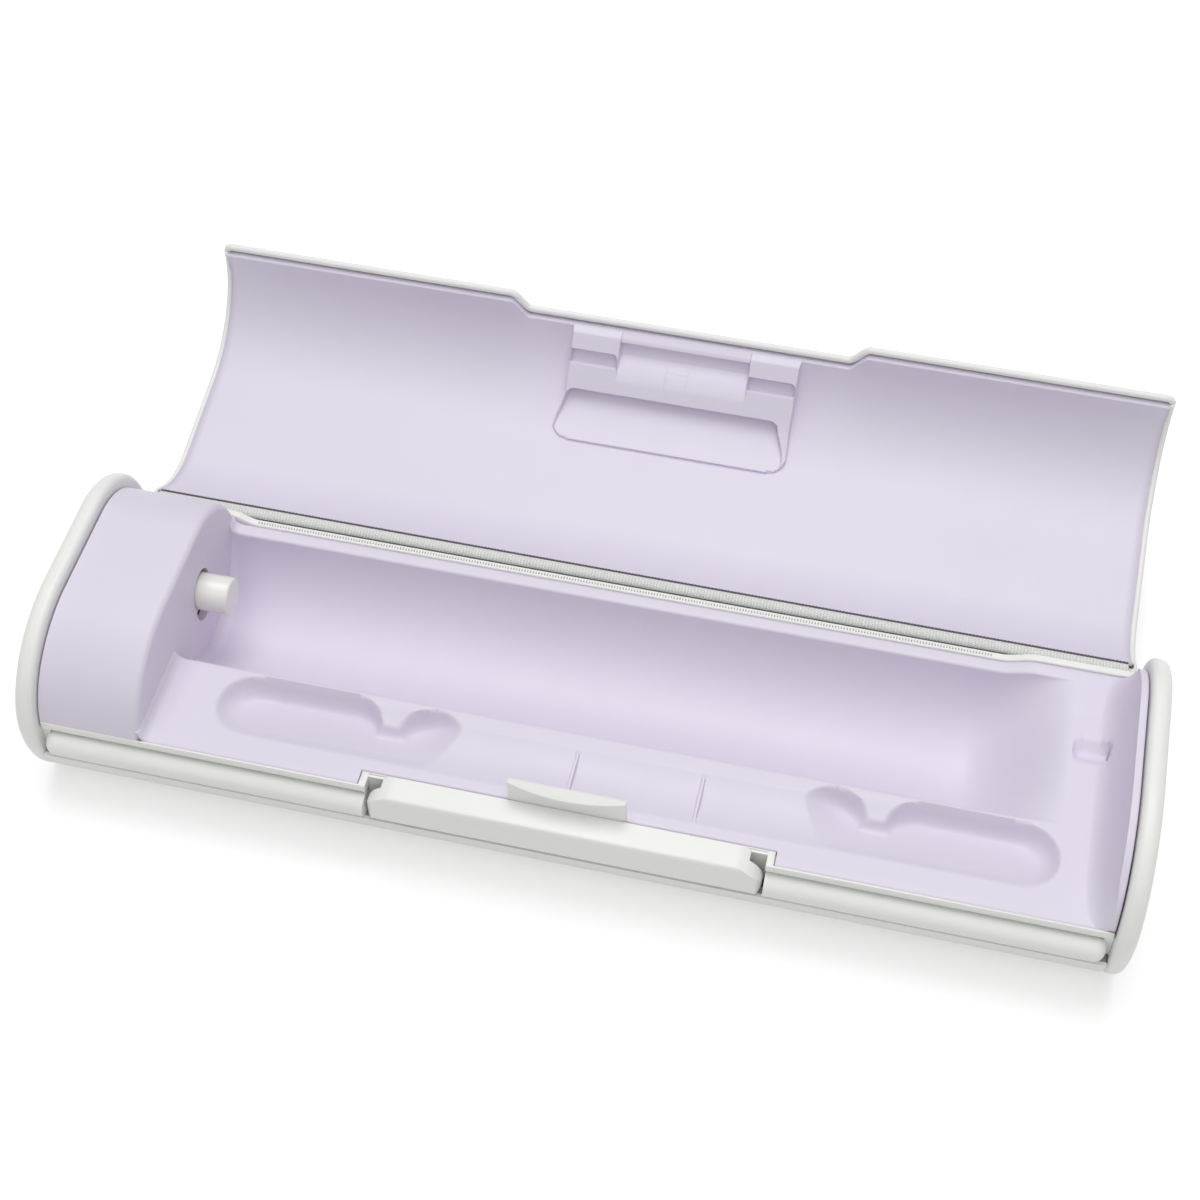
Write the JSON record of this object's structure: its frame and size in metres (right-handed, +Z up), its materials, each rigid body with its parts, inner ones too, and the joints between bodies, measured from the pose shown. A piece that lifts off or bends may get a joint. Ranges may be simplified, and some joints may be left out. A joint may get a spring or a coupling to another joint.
{
  "type": "electric toothbrush travel case",
  "caption": "Long rounded case with a hinged lid, a lilac tray with a handle trough and brush-head pockets, a charging block with a tilting pin, and a front release button.",
  "frame": {"origin": "on the rest face, under the middle of the closed case outline", "axes": "+X along the case away from the charging block, +Y from the release button to the hinge, +Z up"},
  "size_m": [0.248, 0.1387, 0.0496],
  "materials": {
    "white_moulding": "glossy off-white moulding",
    "white_cover": "soft white grained cover material",
    "lilac_moulding": "satin pale lilac moulding",
    "grey_moulding": "plain hidden moulding",
    "pin_plastic": "glossy warm white moulding",
    "woven_band": "close silvery white weave",
    "steel": "drawn steel",
    "copper": "enamelled copper wire",
    "ferrite": "dark sintered ferrite",
    "board": "solder-masked board",
    "black_plastic": "black moulding"
  },
  "bodies": {
    "base": {"base_shell": "grey_moulding", "base_skin": "white_cover", "left_end_cap": "white_moulding", "right_end_cap": "white_moulding", "power_socket": "black_plastic", "front_rail": "white_moulding", "front_roll_left": "white_cover", "front_roll_right": "white_cover", "rear_rail": "white_moulding", "tray": "lilac_moulding", "block_cover": "lilac_moulding", "pin_bracket": "grey_moulding", "circuit_board": "board", "board_screws": "steel", "hinge_band": "woven_band", "button_guide": "grey_moulding", "button_spring_left": "steel", "button_spring_right": "steel"},
    "lid": {"lid_shell": "lilac_moulding", "lid_skin": "white_cover", "lid_piping": "white_cover", "catch_housing": "lilac_moulding"},
    "button": {"button_bar": "white_moulding", "latch_hook": "white_moulding"},
    "pin": {"pin_sleeve": "pin_plastic", "pin_axle": "steel", "ferrite_core": "ferrite", "charging_coil": "copper"}
  },
  "joints": [
    {"name": "lid_hinge", "type": "hinge", "parent": "base", "child": "lid", "pos_m": [0, 0.0342, 0.0301], "axis": [1, 0, 0], "range_deg": [0, 169.3], "deforming": ["hinge_band"]},
    {"name": "button_press", "type": "slide", "parent": "base", "child": "button", "axis": [0, 1, 0], "range_m": [0, 0.002], "stiffness_N_per_m": 600, "springref_m": -0.001, "deforming": ["button_spring_left", "button_spring_right"]},
    {"name": "pin_tilt", "type": "hinge", "parent": "base", "child": "pin", "pos_m": [-0.1, 0.0095, 0.0315], "axis": [0, -1, 0], "range_deg": [0, 15]}
  ]
}
